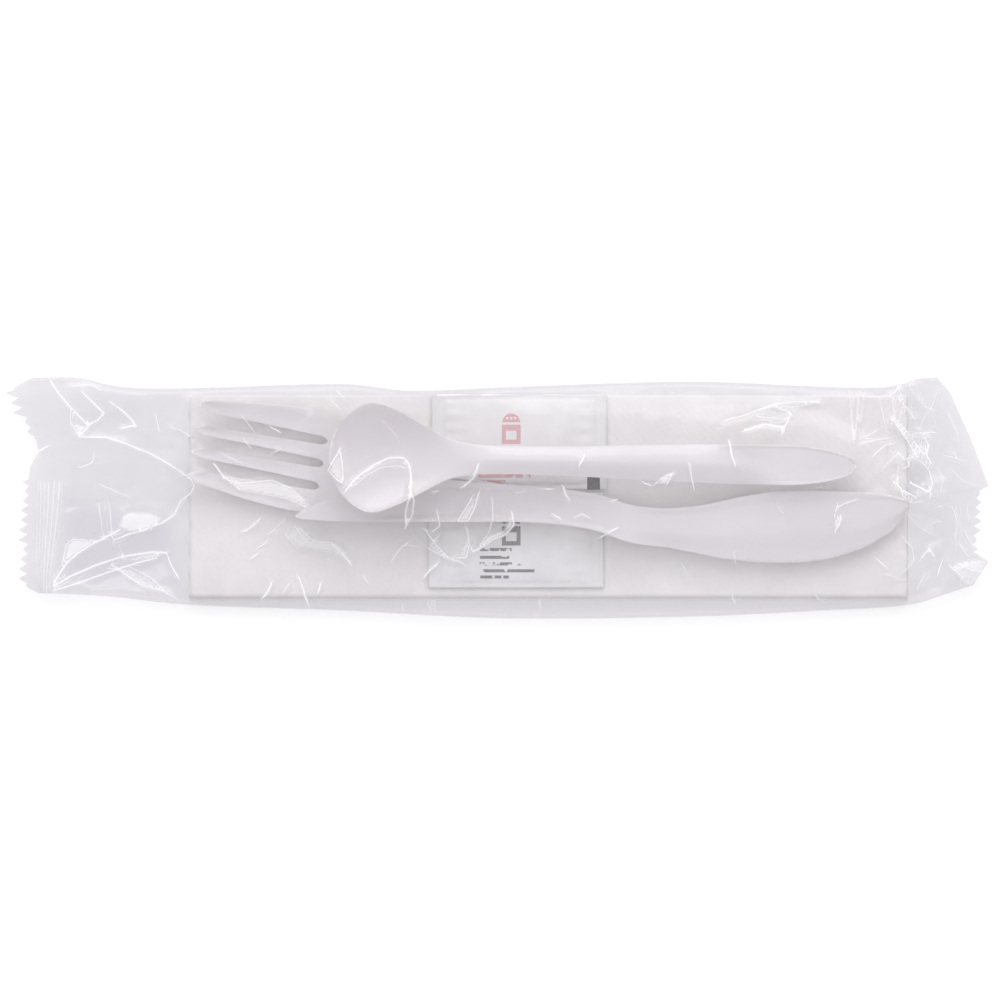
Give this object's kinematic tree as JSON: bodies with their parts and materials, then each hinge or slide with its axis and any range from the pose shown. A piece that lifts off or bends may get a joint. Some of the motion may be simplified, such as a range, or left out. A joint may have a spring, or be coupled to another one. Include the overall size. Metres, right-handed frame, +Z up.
{
  "type": "plastic cutlery pack",
  "caption": "Sealed clear film sleeve holding a disposable spoon, knife and fork, a folded paper napkin, and paper packets of salt and pepper.",
  "frame": {"origin": "under the middle of the pack, on the surface it lies on", "axes": "+X along the pack from the fork's tines to the knife's tip, +Y across it towards the spoon and the salt, +Z up from its back seam"},
  "size_m": [0.2538, 0.0625, 0.019],
  "materials": {
    "film": "clear crinkled polypropylene film",
    "napkin_tissue": "soft white tissue",
    "salt_paper": "white coated paper with plain red shapes and a black mark",
    "pepper_paper": "white coated paper with plain black shapes",
    "cutlery_plastic": "moulded off-white plastic, satin gloss"
  },
  "bodies": {
    "root": {"film_wrapper": "film", "paper_napkin": "napkin_tissue", "salt_packet": "salt_paper", "pepper_packet": "pepper_paper", "fork": "cutlery_plastic", "knife": "cutlery_plastic", "spoon": "cutlery_plastic"}
  },
  "joints": []
}
